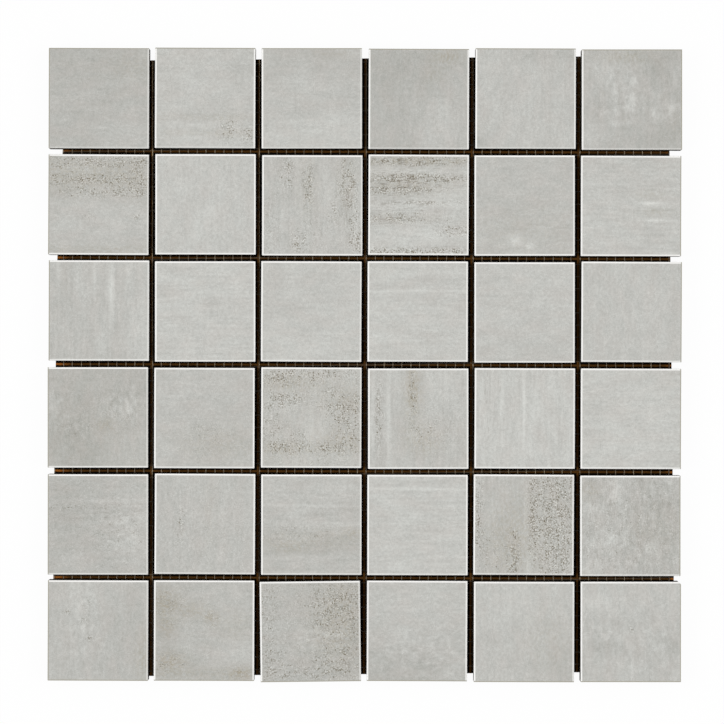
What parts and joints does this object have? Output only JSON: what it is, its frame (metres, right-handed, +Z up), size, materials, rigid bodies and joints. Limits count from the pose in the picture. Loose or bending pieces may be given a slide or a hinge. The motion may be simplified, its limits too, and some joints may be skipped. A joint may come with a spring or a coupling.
{
  "type": "mosaic tile sheet",
  "caption": "Square mosaic sheet of light-grey cement-look porcelain tiles with open joints, glued to brown backing paper reinforced by a fine thread scrim.",
  "frame": {"origin": "under the middle of the sheet, at the backing paper's underside", "axes": "+Z up, out of the tiles' faces; +X along a row of tiles, to the right in the picture; +Y up a column of tiles, to the picture's top"},
  "size_m": [0.2976, 0.2979, 0.0095],
  "materials": {
    "tile": "matte",
    "backing_paper": "matte",
    "scrim_thread": "satin"
  },
  "bodies": {
    "root": {"backing_paper": "backing_paper", "scrim_warp_threads": "scrim_thread", "scrim_weft_threads": "scrim_thread", "tile_row1_col1": "tile", "tile_row1_col2": "tile", "tile_row1_col3": "tile", "tile_row1_col4": "tile", "tile_row1_col5": "tile", "tile_row1_col6": "tile", "tile_row2_col1": "tile", "tile_row2_col2": "tile", "tile_row2_col3": "tile", "tile_row2_col4": "tile", "tile_row2_col5": "tile", "tile_row2_col6": "tile", "tile_row3_col1": "tile", "tile_row3_col2": "tile", "tile_row3_col3": "tile", "tile_row3_col4": "tile", "tile_row3_col5": "tile", "tile_row3_col6": "tile", "tile_row4_col1": "tile", "tile_row4_col2": "tile", "tile_row4_col3": "tile", "tile_row4_col4": "tile", "tile_row4_col5": "tile", "tile_row4_col6": "tile", "tile_row5_col1": "tile", "tile_row5_col2": "tile", "tile_row5_col3": "tile", "tile_row5_col4": "tile", "tile_row5_col5": "tile", "tile_row5_col6": "tile", "tile_row6_col1": "tile", "tile_row6_col2": "tile", "tile_row6_col3": "tile", "tile_row6_col4": "tile", "tile_row6_col5": "tile", "tile_row6_col6": "tile"}
  },
  "joints": []
}
